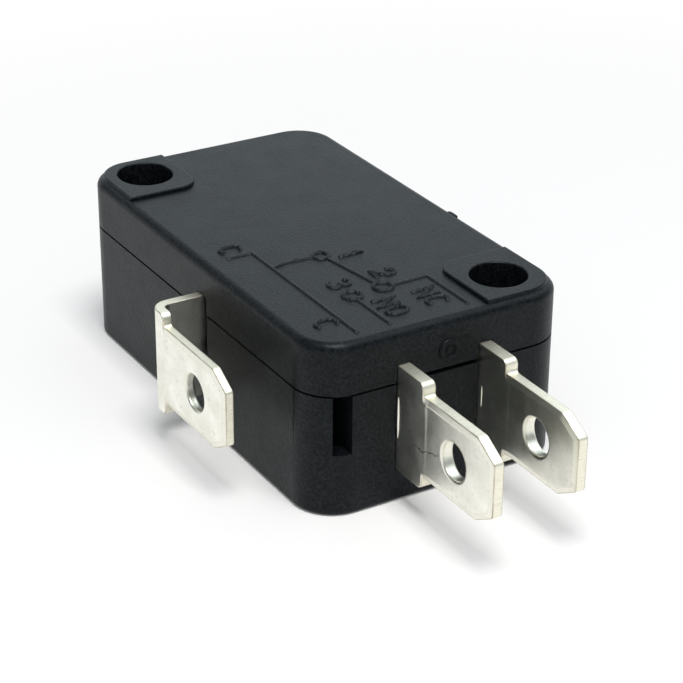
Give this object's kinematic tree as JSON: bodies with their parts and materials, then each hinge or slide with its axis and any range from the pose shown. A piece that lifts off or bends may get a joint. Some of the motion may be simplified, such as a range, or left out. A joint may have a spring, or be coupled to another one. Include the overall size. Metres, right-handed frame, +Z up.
{
  "type": "plunger micro switch",
  "caption": "Miniature snap-action switch: black moulded case with mounting holes, pin plunger and quick-connect tabs; pressing the plunger changes the contacts over.",
  "frame": {"origin": "axis of the round mounting hole, in the plane of the case's underside", "axes": "+X along the case to the two end tabs, +Y to the plunger, +Z up through the mounting holes"},
  "size_m": [0.0365, 0.0214, 0.0103],
  "materials": {
    "case_plastic": "fine moulded grain",
    "plunger_plastic": "smooth moulded",
    "plated_brass": "tin plated, stamped",
    "contact_silver": "turned silver alloy",
    "blade_bronze": "rolled strip",
    "lever_steel": "stamped strip",
    "spring_steel": "drawn wire"
  },
  "bodies": {
    "case": {"base": "case_plastic", "cover": "case_plastic", "common_terminal": "plated_brass", "normally_open_terminal": "plated_brass", "normally_closed_terminal": "plated_brass", "open_contact": "contact_silver", "closed_contact": "contact_silver"},
    "plunger": {"plunger": "plunger_plastic"},
    "lever": {"actuating_lever": "lever_steel"},
    "blade": {"contact_blade": "blade_bronze", "moving_contact": "contact_silver"},
    "spring": {"snap_spring": "spring_steel"}
  },
  "joints": [
    {"name": "plunger_press", "type": "slide", "parent": "case", "child": "plunger", "axis": [0, -1, 0], "range_m": [0, 0.0019], "stiffness_N_per_m": 1200, "springref_m": -0.0008},
    {"name": "lever_tilt", "type": "hinge", "parent": "case", "child": "lever", "pos_m": [-0.01195, -0.00758, 0.00505], "axis": [0, 0, 1], "range_deg": [0, 14]},
    {"name": "blade_snap", "type": "hinge", "parent": "case", "child": "blade", "pos_m": [-0.01715, -0.00478, 0.00505], "axis": [0, 0, 1], "range_deg": [-3, 0]},
    {"name": "spring_swing", "type": "hinge", "parent": "blade", "child": "spring", "pos_m": [-0.00825, -0.00478, 0.00505], "axis": [0, 0, 1], "range_deg": [0, 9.7], "deforming": ["snap_spring"]}
  ],
  "couplings": [
    {"joint": "lever_tilt", "follows": "plunger_press", "rad_per_m": 128.5},
    {"joint": "blade_snap", "follows": "plunger_press", "rad_per_m": -27.5},
    {"joint": "spring_swing", "follows": "plunger_press", "rad_per_m": 89}
  ]
}
